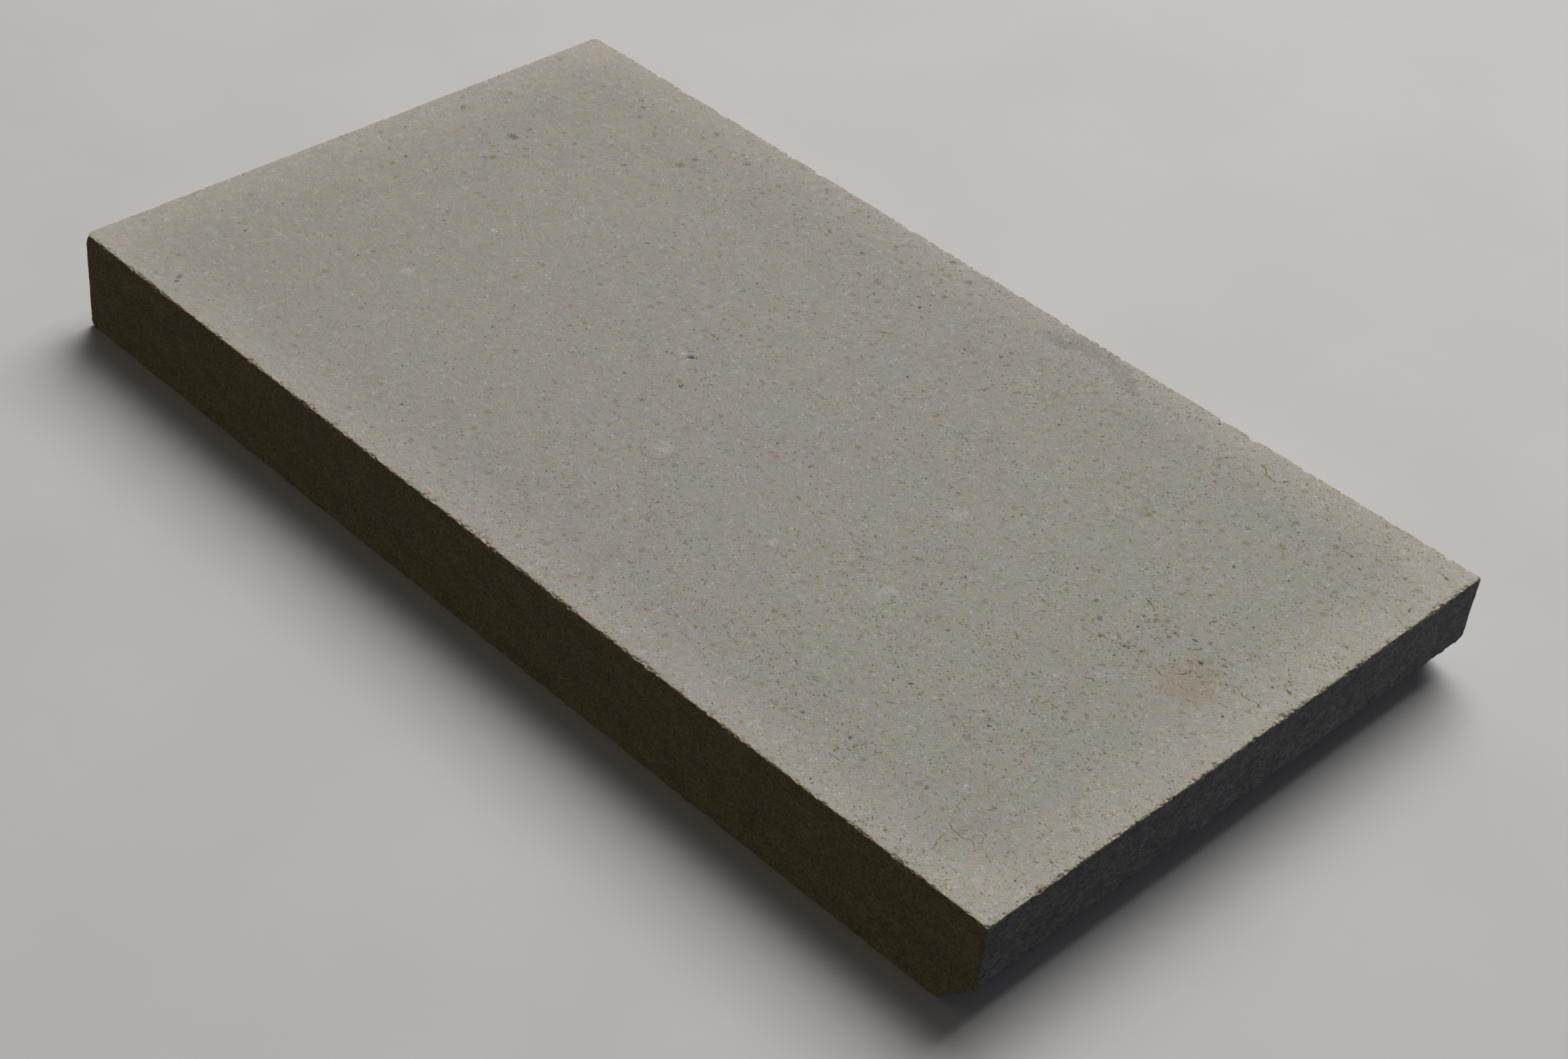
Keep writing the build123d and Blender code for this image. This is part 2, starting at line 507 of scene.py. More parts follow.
def worn_width(points, slab, share):
    """How wide the worn strip of an arris is at each point."""
    crumbs = noise_at(points + 0.77, 0.9 * MM, 2)
    meander = noise_at(points + 0.31, 3.2 * MM, 2)
    notches = limited(noise_at(points + 0.53, 4.2 * MM) - 0.2)
    grit = noise_at(points + 0.19, 0.5 * MM)
    width = slab.arris_width + slab.crumble * (0.8 * np.abs(crumbs) + meander + 0.35 * grit)
    width = (width + slab.crumble * notches * (2.0 + 2.4 * crumbs)) * share
    for x, y, z, radius, extra in BITES:
        gap = np.linalg.norm(points - np.array((x, y, z)) * MM, axis=1) / (radius * MM)
        width = width + extra * MM * limited(1 - gap * gap)
    return np.maximum(width, LEAST_WORN)


def wear_arrises(points, slab):
    """Wears every arris back, and tells how much each point has moved."""
    moved = np.zeros(len(points))
    for (one, other), share in WORN.items():
        normal_one, normal_other = PLANES[one][0], PLANES[other][0]
        gap = inside_distance(points, one) + inside_distance(points, other)
        near = np.flatnonzero(gap < WEAR_REACH)
        width = worn_width(points[near], slab, share)
        kept = soft_maximum(gap[near], width, slab.arris_softness)
        step = (kept - gap[near]) / (2 * (1 + normal_one @ normal_other))
        points[near] -= step[:, None] * (normal_one + normal_other)
        moved[near] = np.maximum(moved[near], step)
    return moved


def chip_arrises(points, slab):
    """Breaks ragged ledges out of the upper arrises, and tells how deep each point sits."""
    sunk = np.zeros(len(points))
    top = PLANES["upper_face"][0]
    for _, side in UPPER_ARRISES:
        below = inside_distance(points, "upper_face")
        behind = inside_distance(points, side)
        near = np.flatnonzero(below + behind < WEAR_REACH)
        place, below, behind = points[near], below[near], behind[near]
        ragged = noise_at(place + 0.43, 1.3 * MM, 3)
        slow = noise_at(place + 0.91, 6.5 * MM)
        edge = 0.9 * ragged + 0.9 * slow + CHIPPED[side] - (below + behind) / slab.chip_reach
        share = limited(edge / 0.22)
        share = share * share * (3 - 2 * share)
        depth = slab.chip_depth * (0.45 + 0.9 * limited(slow + 0.3 * ragged)) * share
        room = 2.2 * slab.chip_depth
        points[near] -= (depth * limited(1 - below / room))[:, None] * top
        points[near] -= (0.6 * depth * limited(1 - behind / room))[:, None] * PLANES[side][0]
        sunk[near] = np.maximum(sunk[near], depth)
    return sunk


def knock_corners(points):
    """Cuts each knocked corner back to a rough slanting face."""
    for corner, reach in KNOCKED_CORNERS:
        corner = np.array(corner) * MM
        outward = np.sign(corner - (LOW + HIGH) / 2) / (np.array(reach) * MM)
        depth = 1 / np.linalg.norm(outward)
        outward = outward * depth
        near = np.flatnonzero(np.linalg.norm(points - corner, axis=1) < CORNER_NEIGHBOURHOOD)
        level = (points[near] - corner) @ outward + depth
        level += CORNER_ROUGHNESS * noise_at(points[near] + 0.19, 1.1 * MM)
        points[near] -= np.clip(level, 0, None)[:, None] * outward


def push_face(points, plane, depth):
    """Pushes one face inwards, with nearby points of its neighbours going along."""
    fade = limited(1 - inside_distance(points, plane) / RELIEF_REACH)
    points -= (depth * fade)[:, None] * PLANES[plane][0]


def relieve_faces(points, slab):
    """Gives the faces their bow, slow hollows and fine unevenness."""
    share_along = points[:, 0] / HIGH[0]
    push_face(points, "front_side", slab.side_bow * share_along**2)
    for shift, plane in enumerate(PLANES):
        if plane in ("underside", "bevel"):
            continue
        near = np.flatnonzero(inside_distance(points, plane) < RELIEF_REACH)
        place = points[near]
        slow = 0.5 + 0.5 * noise_at(place + shift, 38 * MM)
        fine = np.clip(0.5 + 0.5 * noise_at(place + shift, 11 * MM, 2), 0, 1.4)
        depth = np.zeros(len(points))
        depth[near] = slab.waviness * slow + slab.relief * fine
        push_face(points, plane, depth)


def set_in_flecks(points, slab, flecks):
    """Sinks a small pit at each fleck, and tells how strongly each kind shows at each point."""
    strengths = {kind: np.zeros(len(points)) for kind in KINDS}
    middle = (LOW + HIGH) / 2
    squeezes = np.random.default_rng(slab.seed).normal(size=(len(flecks[0]), 3))
    squeezes /= np.linalg.norm(squeezes, axis=1)[:, None]
    for centre, radius, kind, squeeze in zip(*flecks, squeezes):
        offset = points - centre
        across = offset @ squeeze
        gap = np.sqrt((offset**2).sum(1) + 1.3 * across**2) / (1.08 * radius)
        near = gap < 1.5
        strength = limited(1.5 - gap[near])
        strengths[kind][near] = np.maximum(strengths[kind][near], strength)
        if kind in (DARK, BROWN):
            inwards = np.zeros(3)
            side = np.argmax(np.abs(centre - middle) / SIZE)
            inwards[side] = -np.sign(centre[side] - middle[side])
            depth = slab.fleck_depth * radius / MM * limited(1 - gap[near] ** 2)
            points[near] += depth[:, None] * inwards
    return strengths


def open_cracks(points, slab):
    """Sinks the hairline cracks into the upper face, and tells where they run."""
    upper = np.flatnonzero(inside_distance(points, "upper_face") < 0.8 * MM)
    places = {name: np.zeros(len(points)) for name in ("crack_side", "crack_left", "crack_near")}
    signed, left = crack_places(points[upper])
    gap = np.hypot(signed, np.clip(-left, 0, None))
    places["crack_side"][upper] = signed / MM
    places["crack_left"][upper] = np.clip(left / MM, -3, 9)
    places["crack_near"][upper] = limited(2 - gap / MM)
    points[upper, 2] -= slab.crack_depth * np.exp(-((gap / CRACK_HALF_WIDTH) ** 2))
    return places


def slab_mesh(slab):
    """The worn slab as a mesh, with what the clay needs to know stored at its points."""
    flecks = all_flecks(slab)
    quads, triangles = block_mesh(flecks)
    used = np.concatenate([quads.ravel(), triangles.ravel()])
    keys, places = np.unique(used, return_inverse=True)
    points = bevelled(lattice_to_block(key_points(keys)))
    rim = arris_distance(points, UPPER_ARRISES)
    wear = wear_arrises(points, slab) + chip_arrises(points, slab)
    knock_corners(points)
    relieve_faces(points, slab)
    stored = set_in_flecks(points, slab, flecks)
    stored.update(open_cracks(points, slab))
    stored["wear"] = limited(wear / FULL_WEAR - 0.25)
    stored["rim"] = np.clip(rim / MM, 0, 30)
    points = np.clip(points, LOW, HIGH)
    mesh = bpy.data.meshes.new("firebrick_slab")
    corners = places.ravel()
    mesh.from_pydata(
        points.tolist(),
        [],
        corners[: quads.size].reshape(-1, 4).tolist()
        + corners[quads.size :].reshape(-1, 3).tolist(),
    )
    mesh.polygons.foreach_set("use_smooth", [True] * len(mesh.polygons))
    for name, values in stored.items():
        layer = mesh.attributes.new(name, "FLOAT", "POINT")
        layer.data.foreach_set("value", values.astype(np.float32))
    mesh.validate()
    return mesh


class NodeBench:
    """Adds and joins the nodes of one material."""

    def __init__(self, tree):
        self.tree = tree

    def add(self, kind, inputs=(), **settings):
        """The outputs of a node with its settings made, and its numbered or named inputs fed."""
        node = self.tree.nodes.new(kind)
        for name, value in settings.items():
            setattr(node, name, value)
        for name, value in dict(inputs).items():
            if isinstance(value, bpy.types.NodeSocket):
                self.tree.links.new(value, node.inputs[name])
            elif hasattr(value, "__len__") and len(value) == 3 and node.inputs[name].type == "RGBA":
                node.inputs[name].default_value = (*value, 1.0)
            else:
                node.inputs[name].default_value = value
        return node.outputs

    def math(self, operation, first, second=0.0, clamp=False):
        """One sum."""
        inputs = {0: first, 1: second}
        return self.add("ShaderNodeMath", inputs, operation=operation, use_clamp=clamp)[0]

    def times(self, product, *factors):
        """Numbers multiplied together."""
        for factor in factors:
            product = self.math("MULTIPLY", product, factor)
        return product

    def plus(self, total, *terms):
        """Numbers added together."""
        for term in terms:
            total = self.math("ADD", total, term)
        return total

    def minus(self, first, second):
        """One number less another."""
        return self.math("SUBTRACT", first, second)

    def vector(self, operation, first, second):
        """One sum with vectors."""
        return self.add("ShaderNodeVectorMath", {0: first, 1: second}, operation=operation)[0]

    def vector_mix(self, share, under, over):
        """Two vectors mixed."""
        return self.add("ShaderNodeMix", {0: share, 4: under, 5: over}, data_type="VECTOR")[1]

    def ramp(self, value, low, high, to_low=0.0, to_high=1.0):
        """A smooth step from one level to another as value goes from low to high."""
        return self.add(
            "ShaderNodeMapRange",
            {"Value": value, "From Min": low, "From Max": high, "To Min": to_low, "To Max": to_high},
            interpolation_type="SMOOTHSTEP",
        )["Result"]

    def fall(self, value, low, high, level=1.0):
        """A smooth step from a level down to nothing as value goes from low to high."""
        return self.ramp(value, low, high, level, 0.0)

    def mix(self, share, under, over, blend="MIX"):
        """Two colours mixed."""
        inputs = {0: share, 6: under, 7: over}
        return self.add("ShaderNodeMix", inputs, data_type="RGBA", blend_type=blend)[2]

    def laid(self, tone, over, *shares):
        """A colour laid over another, as thickly as the product of the shares."""
        return self.mix(self.times(*shares), tone, over)

    def tinted(self, tone, tint):
        """A colour multiplied by another or by a number."""
        return self.mix(1.0, tone, tint, "MULTIPLY")

    def mottled(self, tone, noise, least, most):
        """A colour made darker and lighter by a noise."""
        return self.tinted(tone, self.ramp(noise, 0.25, 0.75, least, most))

    def iron(self, clay, noise, low, high):
        """Iron stain, from ochre to brown by a noise."""
        return self.mix(self.ramp(noise, low, high), clay.ochre_fleck, clay.brown_fleck)

    def noises(self, where, size, detail=2.0, roughness=0.5):
        """Cloudy noise over a face, with features of a size in millimetres, as (value, colour)."""
        inputs = {"Vector": where, "Scale": 1 / (size * MM), "Detail": detail, "Roughness": roughness}
        return self.add("ShaderNodeTexNoise", inputs, noise_dimensions="2D")[:2]

    def noise(self, *settings):
        """The value of a cloudy noise."""
        return self.noises(*settings)[0]

    def line(self, noise, width):
        """A wandering line, where a noise crosses its middle."""
        return self.fall(self.math("ABSOLUTE", self.minus(noise, 0.5)), 0.0, width)

    def cells(self, where, size):
        """Cells of a size in millimetres over a face, as (distance from the middle, random colour)."""
        inputs = {"Vector": where, "Scale": 1 / (size * MM)}
        outputs = self.add("ShaderNodeTexVoronoi", inputs, feature="F1", voronoi_dimensions="2D")
        return outputs["Distance"], outputs["Color"]

    def moved(self, where, shift):
        """Coordinates moved aside, so that a noise differs from another of its size."""
        return self.vector("ADD", where, (shift, 0.7 * shift, 0.0))

    def shortened(self, where, share):
        """Coordinates whose first part is shortened, so that features come out longer."""
        return self.vector("MULTIPLY", where, (share, 1.0, 1.0))

    def split(self, vector):
        """The three parts of a vector or colour."""
        return self.add("ShaderNodeSeparateXYZ", {0: vector})

    def stored(self, name):
        """A number stored at the mesh's points."""
        return self.add("ShaderNodeAttribute", attribute_name=name)["Fac"]

    def shaken(self, where, size, amount):
        """Coordinates pushed about by noise, both in millimetres, so that outlines come out ragged."""
        push = self.vector("SUBTRACT", self.noises(where, size)[1], (0.5, 0.5, 0.5))
        return self.vector("ADD", where, self.vector("MULTIPLY", push, [2 * amount * MM] * 3))

    def grains(self, where, spacing, keep, radius):
        """Strewn grains: a share of the cells holds one each, of up to a radius in millimetres."""
        distance, random = self.cells(where, spacing)
        present, girth, _ = self.split(random)
        kept = self.math("LESS_THAN", present, keep)
        reach = self.ramp(girth, 0.2, 1.1, 0.35 * radius / spacing, radius / spacing)
        return self.times(self.fall(distance, self.times(reach, 0.5), reach), kept)

    def patch(self, where, place, reach):
        """Distance from an oval on the upper face, in millimetres, as a share of its reach."""
        offset = self.vector("SUBTRACT", where, (place[0] * MM, place[1] * MM, 0.0))
        shares = self.vector("DIVIDE", offset, (reach[0] * MM, reach[1] * MM, MM))
        return self.add("ShaderNodeVectorMath", {0: shares}, operation="LENGTH")["Value"]


def cleared(owner):
    """A bench for the emptied nodes of a material or world."""
    owner.use_nodes = True
    owner.node_tree.nodes.clear()
    return NodeBench(owner.node_tree)


# Soft marks on the upper face, in millimetres: (x, y), (reach along x, reach along y)
TAN_STAIN = ((118.8, 3.0), (8.6, 8.0))
SMUDGE = ((37.0, 63.2), (15.6, 11.6))
FAINT_ARC = ((66.0, 33.0), (14.0, 14.0))
CHALKY_PATCHES = (
    ((0.8, -27.2), (3.0, 3.6)),
    ((55.0, 6.0), (2.2, 3.4)),
    ((62.6, -24.0), (4.0, 3.0)),
    ((37.0, -30.8), (1.6, 2.6)),
    ((-82.2, -28.6), (2.0, 2.0)),
)
CHALK_RING = ((0.2, -27.6), (3.9, 4.7))

# Where iron-stained grains crowd together or keep away: (x, y), (reach along x and y), how much
CROWDED = (
    ((103.0, 4.0), (16.0, 12.0), 1.1),
    ((104.0, -28.0), (10.0, 20.0), 0.8),
    ((81.0, 60.0), (14.0, 12.0), 0.9),
    ((98.0, -61.0), (24.0, 9.0), 0.3),
    ((68.0, 24.0), (20.0, 16.0), -0.6),
    ((124.0, -66.0), (20.0, 14.0), -0.45),
)

# Where soft specks are thicker, told in the same way
SPECKLED = (
    ((-68.0, 64.0), (75.0, 28.0), 1.5),
    ((50.0, 70.0), (70.0, 16.0), 0.6),
    ((-116.0, 34.0), (24.0, 34.0), 1.3),
    ((20.0, -70.0), (75.0, 12.0), 0.9),
    ((-124.0, -66.0), (14.0, 12.0), 0.5),
    ((118.0, 0.0), (24.0, 50.0), 0.5),
    ((124.0, -66.0), (20.0, 14.0), -0.6),
    ((-40.0, 72.0), (80.0, 9.0), 0.8),
)

# Grains strewn over the faces: sizes in millimetres; where they keep to; their share on the sides
Strewn = namedtuple("Strewn", "name spacing keep radius cover keeps_to on_sides")
STREWN = (
    Strewn("ochre_fleck", 4.5, 0.50, 1.60, 0.10, "everywhere", 1.0),
    Strewn("ochre_fleck", 2.7, 0.20, 1.05, 0.36, "specks", 0.0),
    Strewn("brown_fleck", 1.5, 0.14, 0.42, 0.42, "specks", 0.3),
    Strewn("slate_fleck", 5.3, 0.35, 1.40, 0.08, "everywhere", 1.0),
    Strewn("pale_grain", 1.5, 0.30, 0.34, 0.60, "crowds", 1.0),
    Strewn("dark_fleck", 1.7, 0.14, 0.27, 0.75, "crowds", 0.35),
    Strewn("slate_fleck", 3.1, 0.12, 0.42, 0.50, "crowds", 0.5),
    Strewn("ochre_fleck", 1.5, 0.30, 0.44, 0.60, "clumps", 1.0),
    Strewn("brown_fleck", 1.3, 0.18, 0.25, 0.80, "clumps", 0.5),
)


def face_places(bench):
    """Flat coordinates on every face, how far a face looks up, and the places along X and Y."""
    where = bench.add("ShaderNodeTexCoord")["Object"]
    normal = bench.add("ShaderNodeNewGeometry")["Normal"]
    x, y, z = bench.split(where)
    slope = bench.split(normal)[2]
    level = bench.math("GREATER_THAN", bench.math("ABSOLUTE", slope), 0.8)
    standing = bench.add("ShaderNodeCombineXYZ", {0: bench.plus(x, y), 1: z})[0]
    lying = bench.add("ShaderNodeCombineXYZ", {0: x, 1: y})[0]
    flat = bench.vector_mix(level, standing, lying)
    return flat, bench.ramp(slope, 0.55, 0.85), x, y


def body_tone(bench, where, x, clay):
    """The clay's own tone: slow drifts, cloudy mottling and a mosaic of grains."""
    drift = bench.ramp(bench.noise(where, 55), 0.3, 0.7, -0.30, 0.30)
    rightward = bench.math("ADD", bench.ramp(x, 0.0, 110 * MM), drift, clamp=True)
    leftward = bench.math("ADD", bench.fall(x, -125 * MM, -20 * MM), drift, clamp=True)
    tone = bench.mix(rightward, clay.pink_clay, clay.green_clay)
    tone = bench.mix(leftward, tone, clay.warm_clay)
    tone = bench.mottled(tone, bench.noise(where, 8, 4.0, 0.6), 0.975, 1.025)

    _, random = bench.cells(bench.shaken(where, 0.4, 0.22), 0.74)
    light, hue, other_hue = bench.split(random)
    red = bench.ramp(hue, 0.0, 1.0, 0.952, 1.052)
    blue = bench.ramp(other_hue, 0.0, 1.0, 1.065, 0.925)
    shade = bench.add("ShaderNodeCombineXYZ", {0: red, 1: 1.0, 2: blue})[0]
    tone = bench.tinted(tone, shade)
    tone = bench.tinted(tone, bench.ramp(light, 0.0, 1.0, 0.955, 1.04))
    grain, tint = bench.noises(where, 0.34, 3.0, 0.65)
    tone = bench.mix(0.20, tone, tint, "OVERLAY")
    return bench.mottled(tone, grain, 0.89, 1.10)


# Painted glints: pale scraped grains on the sides, painted nearly white
PALE_GRAIN_GLINT = (0.90, 0.90, 0.88)  # scraped grains on the sides, catching the light


def side_tone(bench, tone, where, x, y, clay):
    """The sides' rougher version of a tone. Painted shade makes it darker and browner, and makes the nose
    end darker towards the front and lighter towards the back. Scraped grains get painted glints.
    """
    nosing = bench.ramp(x, HIGH[0] - 1.2 * MM, HIGH[0] - 0.6 * MM)
    # Painted shade: the nose end is painted darker towards the front and lighter towards the back
    painted_nose_shade = bench.ramp(y, LOW[1], HIGH[1], 0.88, 1.17)
    tone = bench.mix(nosing, tone, bench.tinted(tone, painted_nose_shade))
    lengthwise = bench.shortened(where, 0.6)
    streak = bench.noise(lengthwise, 0.6, 3.0, 0.75)
    patch, drift = bench.noises(lengthwise, 4.5, 3.0, 0.6)
    # Painted shade: darkens the sides and makes them browner
    tone = bench.tinted(tone, clay.painted_side_shade)
    tone = bench.mix(0.03, tone, drift, "OVERLAY")
    tone = bench.mottled(tone, streak, 0.66, 1.34)
    tone = bench.mottled(tone, patch, 0.88, 1.12)
    coarse = bench.noise(bench.moved(lengthwise, 23.0), 1.5, 3.0, 0.7)
    coarse = bench.ramp(coarse, 0.3, 0.7, 0.82, 1.18)
    tone = bench.mix(nosing, tone, bench.tinted(tone, coarse))

    # Pale scraped grains on the sides, painted nearly white as glints, fewer towards the front
    dragged = bench.shortened(where, 0.35)
    scratch = bench.noise(bench.moved(dragged, 21.0), 0.36, 2.0, 0.6)
    nests = bench.noise(bench.moved(where, 22.0), 3.4)
    thicker = bench.ramp(y, -65 * MM, -25 * MM, 0.35, 1.0)
    shown = bench.times(bench.ramp(scratch, 0.58, 0.65), bench.ramp(nests, 0.55, 0.66), thicker)
    return bench.laid(tone, PALE_GRAIN_GLINT, shown, 0.9)


def soft_marks(bench, tone, where, x, y, upward, clay):
    """The tan stain, the grey smudge, the faint arc and the chalky patches."""
    shaken = bench.shaken(where, 3.0, 1.7)
    mottle = bench.ramp(bench.noise(where, 1.1, 3.0, 0.6), 0.3, 0.65, 0.75, 1.0)

    stain = bench.fall(bench.patch(shaken, *TAN_STAIN), 0.48, 1.12)
    tone = bench.laid(tone, bench.tinted(tone, clay.stain_tint), stain, mottle, upward)

    calmer = bench.vector_mix(0.7, shaken, where)
    ring = bench.patch(calmer, *SMUDGE)
    outer = bench.ramp(x, 34 * MM, 44 * MM, 1.40, 1.14)
    above = bench.ramp(y, 66.5 * MM, 70 * MM)
    fading = bench.ramp(x, 24 * MM, 54 * MM, 0.43, 0.36)
    crescent = bench.times(bench.ramp(ring, 0.62, 0.80), bench.fall(ring, 0.94, outer), above)
    tone = bench.laid(tone, clay.smudge, crescent, fading)

    ring = bench.patch(shaken, *FAINT_ARC)
    arc = bench.times(bench.ramp(ring, 0.84, 0.96), bench.fall(ring, 1.0, 1.1))
    middle_x, middle_y = FAINT_ARC[0]
    beyond = bench.plus(bench.minus(x, middle_x * MM), bench.minus(y, middle_y * MM))
    arc = bench.times(arc, bench.ramp(beyond, 4 * MM, 14 * MM, 0.0, 0.16), upward)
    tone = bench.mix(arc, tone, clay.smudge)

    for place, reach in CHALKY_PATCHES:
        chalk = bench.fall(bench.patch(shaken, place, reach), 0.35, 1.0, 0.42)
        tone = bench.laid(tone, clay.pale_grain, chalk, mottle, upward)
    ring = bench.patch(where, *CHALK_RING)
    rind = bench.times(bench.ramp(ring, 0.90, 0.98), bench.fall(ring, 1.0, 1.08, 0.30))
    under = bench.ramp(bench.minus(bench.times(x, 0.4), y), 25 * MM, 29 * MM)
    return bench.laid(tone, clay.slate_fleck, rind, under, upward)


def thickened(bench, field, where, nests, upward):
    """A field of numbers on the upper face, raised or lowered round some places."""
    for place, reach, more in nests:
        nest = bench.fall(bench.patch(where, place, reach), 0.35, 1.15, more)
        field = bench.plus(field, bench.times(nest, upward))
    return field


def strewn_grains(bench, tone, where, x, upward, clay):
    """Fine grains and clumps of iron-stained squiggles, thicker towards the nose end."""
    crowd = bench.noise(where, 16, 3.0)
    noseward = bench.ramp(x, -130 * MM, 90 * MM, 0.10, 1.12)
    crowd = bench.times(bench.ramp(crowd, 0.3, 0.7, 0.5, 1.4), noseward)
    drifting = bench.shaken(where, 9, 5)
    crowd = thickened(bench, crowd, drifting, CROWDED, upward)
    specks = bench.ramp(x, -130 * MM, 0.0, 0.30, 0.70)
    specks = thickened(bench, specks, drifting, SPECKLED, upward)
    ragged = bench.shaken(where, 0.45, 0.32)
    clumps = bench.noise(bench.moved(where, 3.0), 2.1, 3.0)
    clumped = bench.ramp(clumps, 0.50, 0.64, 0.18, 1.18)
    clumping = bench.times(crowd, clumped)
    fields = {"everywhere": 1.0, "crowds": crowd, "clumps": clumping, "specks": specks}
    for shift, grain in enumerate(STREWN):
        share = bench.ramp(upward, 0.0, 1.0, grain.on_sides * grain.keep, grain.keep)
        share = bench.times(share, fields[grain.keeps_to])
        place = bench.moved(ragged, 0.5 + shift)
        shown = bench.grains(place, grain.spacing, share, grain.radius)
        tone = bench.laid(tone, getattr(clay, grain.name), shown, grain.cover)

    # Broken chalky crumbs
    crumbs = bench.noise(bench.moved(where, 12.0), 0.42, 2.0, 0.7)
    nests = bench.noise(bench.moved(where, 11.0), 2.3)
    crumb = bench.times(bench.ramp(crumbs, 0.52, 0.58), bench.ramp(nests, 0.62, 0.70), 0.65)
    tone = bench.mix(crumb, tone, clay.pale_grain)

    # Iron-stained crumbs, and short squiggles among them
    stained = bench.iron(clay, bench.noise(bench.moved(where, 5.0), 0.9, 1.0), 0.42, 0.58)
    bits = bench.noise(bench.moved(where, 18.0), 0.58, 2.0, 0.6)
    level = bench.plus(bits, bench.times(crowd, 0.045), bench.times(clumped, 0.07))
    bit = bench.ramp(level, 0.745, 0.83, 0.0, 0.75)
    tone = bench.laid(tone, stained, bit, upward)

    wander = bench.noise(bench.moved(where, 9.0), 0.95, 2.0, 0.6)
    line = bench.times(
        bench.line(wander, 0.05),
        bench.ramp(bench.plus(clumps, bench.times(crowd, 0.085)), 0.735, 0.775),
        bench.ramp(bits, 0.46, 0.54),
        bench.ramp(crowd, 0.3, 0.8, 0.15, 1.0),
        bench.ramp(upward, 0.0, 1.0, 0.3, 0.7),
    )
    return bench.mix(line, tone, stained), crowd


def crazing(bench, tone, where, crowd, upward, clay):
    """Broken, wandering hairlines where the grains crowd, ochre to nearly black."""
    swaying = bench.shaken(where, 0.6, 0.45)
    wander = bench.noise(bench.moved(swaying, 15.0), 3.2, 1.0)
    girth = bench.noise(bench.moved(where, 16.0), 1.3)
    patches = bench.noise(bench.moved(where, 2.0), 7)
    line = bench.times(
        bench.line(wander, bench.ramp(girth, 0.45, 0.66, 0.004, 0.030)),
        bench.ramp(bench.plus(patches, bench.times(crowd, 0.075)), 0.62, 0.69),
        bench.ramp(crowd, 0.3, 0.7, 0.2, 1.0),
        upward,
        0.6,
    )
    return bench.mix(line, tone, bench.iron(clay, girth, 0.46, 0.60))


def mesh_marks(bench, tone, where, clay):
    """The flecks and cracks that the mesh carries."""
    speckle = bench.minus(bench.noise(bench.moved(where, 6.0), 0.55, 2.0, 0.6), 0.5)
    looks = (
        # kind, colour, cover, raggedness, strength where it is full
        (OCHRE, clay.ochre_fleck, 0.70, 1.5, 1.10),
        (BROWN, clay.brown_fleck, 0.70, 2.6, 0.95),
        (SLATE, clay.slate_fleck, 0.74, 1.3, 1.05),
        (DARK, clay.dark_fleck, 0.85, 2.2, 1.00),
        (PALE, clay.pale_grain, 0.80, 2.4, 1.05),
    )
    for kind, tint, cover, raggedness, full in looks:
        strength = bench.plus(bench.stored(kind), bench.times(speckle, raggedness))
        inside = bench.ramp(bench.stored(kind), 0.02, 0.25)
        shown = bench.times(bench.ramp(strength, 0.45, full, 0.0, cover), inside)
        tone = bench.mix(shown, tone, tint)

    sway = bench.noise(bench.moved(where, 8.0), 0.9, 3.0, 0.6)
    offset = bench.times(bench.minus(sway, 0.5), 0.9)
    across = bench.math("ABSOLUTE", bench.plus(bench.stored("crack_side"), offset))
    girth = bench.noise(bench.moved(where, 7.0), 1.0, 1.0)
    crack = bench.times(
        bench.fall(across, 0.03, bench.ramp(girth, 0.35, 0.65, 0.05, 0.19)),
        bench.ramp(bench.stored("crack_left"), -0.2, 0.6),
        bench.stored("crack_near"),
    )
    return bench.laid(tone, bench.iron(clay, girth, 0.4, 0.6), crack, 0.75), crack


# What tones are multiplied by near the arrises; the first makes both the painted highlight round the upper
# face's rim and the paler worn strip
RIM_HIGHLIGHT_AND_WEAR = (1.24, 1.22, 1.215)
RUSTY_ARRIS = (0.99, 0.965, 0.89)
RUSTY_FRONT_ARRIS = (0.97, 0.91, 0.74)
BARED_CLAY = (1.22, 1.16, 1.03)


